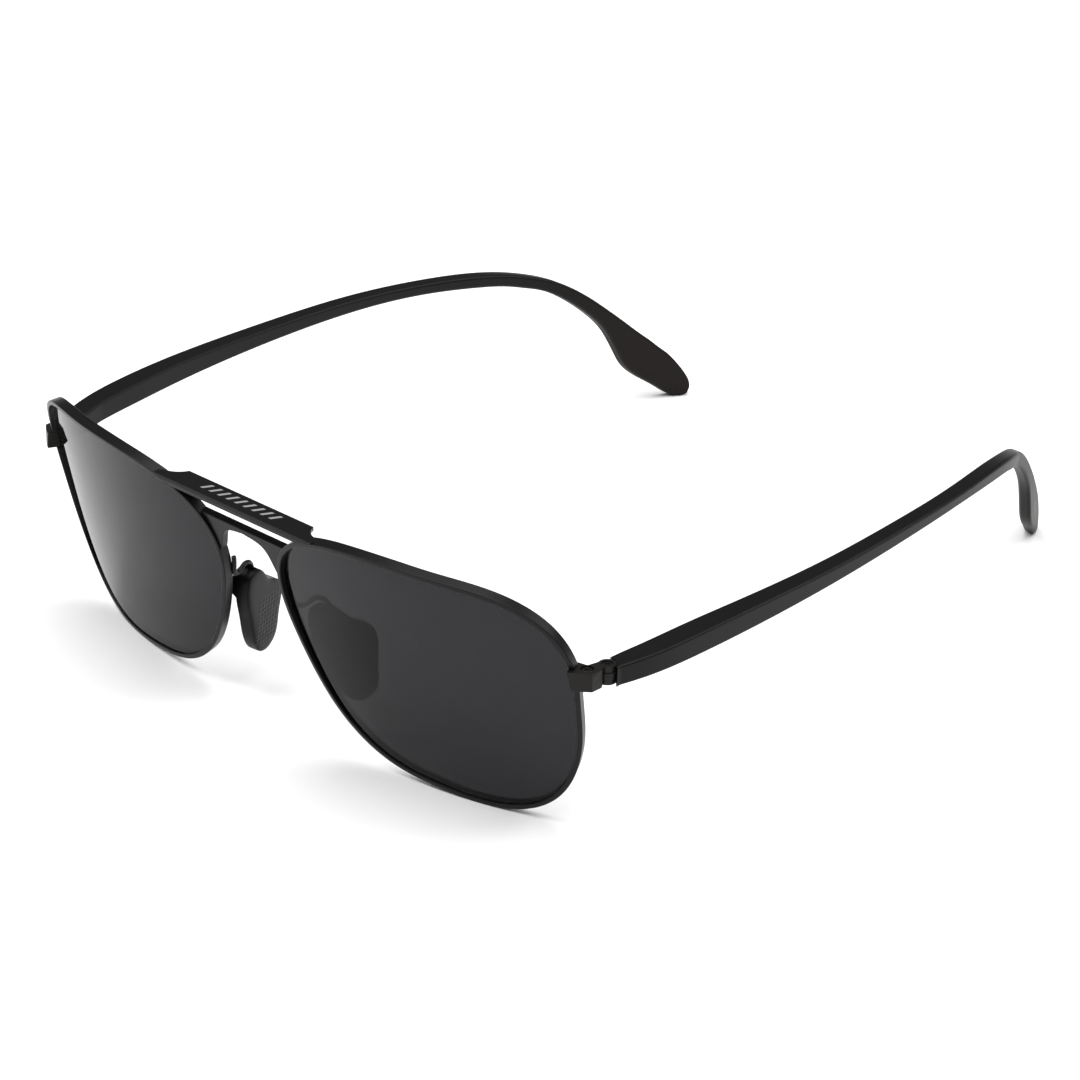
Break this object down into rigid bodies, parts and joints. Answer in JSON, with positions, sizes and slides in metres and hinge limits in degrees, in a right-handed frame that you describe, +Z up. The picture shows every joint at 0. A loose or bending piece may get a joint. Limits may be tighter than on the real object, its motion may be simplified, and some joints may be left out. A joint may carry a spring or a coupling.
{
  "type": "aviator sunglasses",
  "caption": "Thin metal-rimmed sunglasses with a brow bar over an arched bridge, dark lenses, folding temples and soft nose pads on bent wire arms.",
  "frame": {"origin": "middle of the bounding box in X and Y, on the table plane that the rims and temple tips touch", "axes": "+X to the wearer's left, +Y from the front back along the temples, +Z up"},
  "size_m": [0.1458, 0.167, 0.0463],
  "materials": {
    "frame_metal": "satin black coating on metal",
    "bar_metal": "satin black coating on metal",
    "hinge_metal": "satin black coating on metal",
    "screw_metal": "blackened steel",
    "wire_metal": "satin black wire",
    "core_steel": "plain steel",
    "temple_plastic": "satin black",
    "tip_rubber": "soft matt brown-black",
    "badge": "plain dark panel",
    "pad_plastic": "matt black",
    "pad_silicone": "soft black silicone with a fine grid",
    "lens_tint": "dark grey tint"
  },
  "bodies": {
    "front": {"rim_left": "frame_metal", "lens_left": "lens_tint", "endpiece_left": "hinge_metal", "rim_lock_left": "hinge_metal", "rim_lock_screw_left": "screw_metal", "hinge_screw_left": "screw_metal", "pad_arm_left": "wire_metal", "pad_screw_left": "screw_metal", "rim_right": "frame_metal", "lens_right": "lens_tint", "endpiece_right": "hinge_metal", "rim_lock_right": "hinge_metal", "rim_lock_screw_right": "screw_metal", "hinge_screw_right": "screw_metal", "pad_arm_right": "wire_metal", "pad_screw_right": "screw_metal", "lower_bridge": "frame_metal", "brow_bar": "bar_metal"},
    "temple_left": {"temple_hinge_left": "hinge_metal", "temple_arm_left": "temple_plastic", "temple_core_left": "core_steel", "temple_tip_left": "tip_rubber", "tip_badge_left": "badge"},
    "temple_right": {"temple_hinge_right": "hinge_metal", "temple_arm_right": "temple_plastic", "temple_core_right": "core_steel", "temple_tip_right": "tip_rubber", "tip_badge_right": "badge"},
    "pad_left": {"pad_carrier_left": "pad_plastic", "nose_pad_left": "pad_silicone"},
    "pad_right": {"pad_carrier_right": "pad_plastic", "nose_pad_right": "pad_silicone"}
  },
  "joints": [
    {"name": "temple_left_fold", "type": "hinge", "parent": "front", "child": "temple_left", "pos_m": [0.0666, -0.0635, 0.0315], "axis": [0, 0, 1], "range_deg": [0, 83]},
    {"name": "temple_right_fold", "type": "hinge", "parent": "front", "child": "temple_right", "pos_m": [-0.0666, -0.0635, 0.0315], "axis": [0, 0, -1], "range_deg": [0, 65]},
    {"name": "nose_pad_left_rock", "type": "hinge", "parent": "front", "child": "pad_left", "pos_m": [0.01032, -0.07053, 0.02333], "axis": [-0.2588, -0.9659, 0], "range_deg": [-5, 5]},
    {"name": "nose_pad_right_rock", "type": "hinge", "parent": "front", "child": "pad_right", "pos_m": [-0.01032, -0.07053, 0.02333], "axis": [0.2588, -0.9659, 0], "range_deg": [-5, 5]}
  ]
}
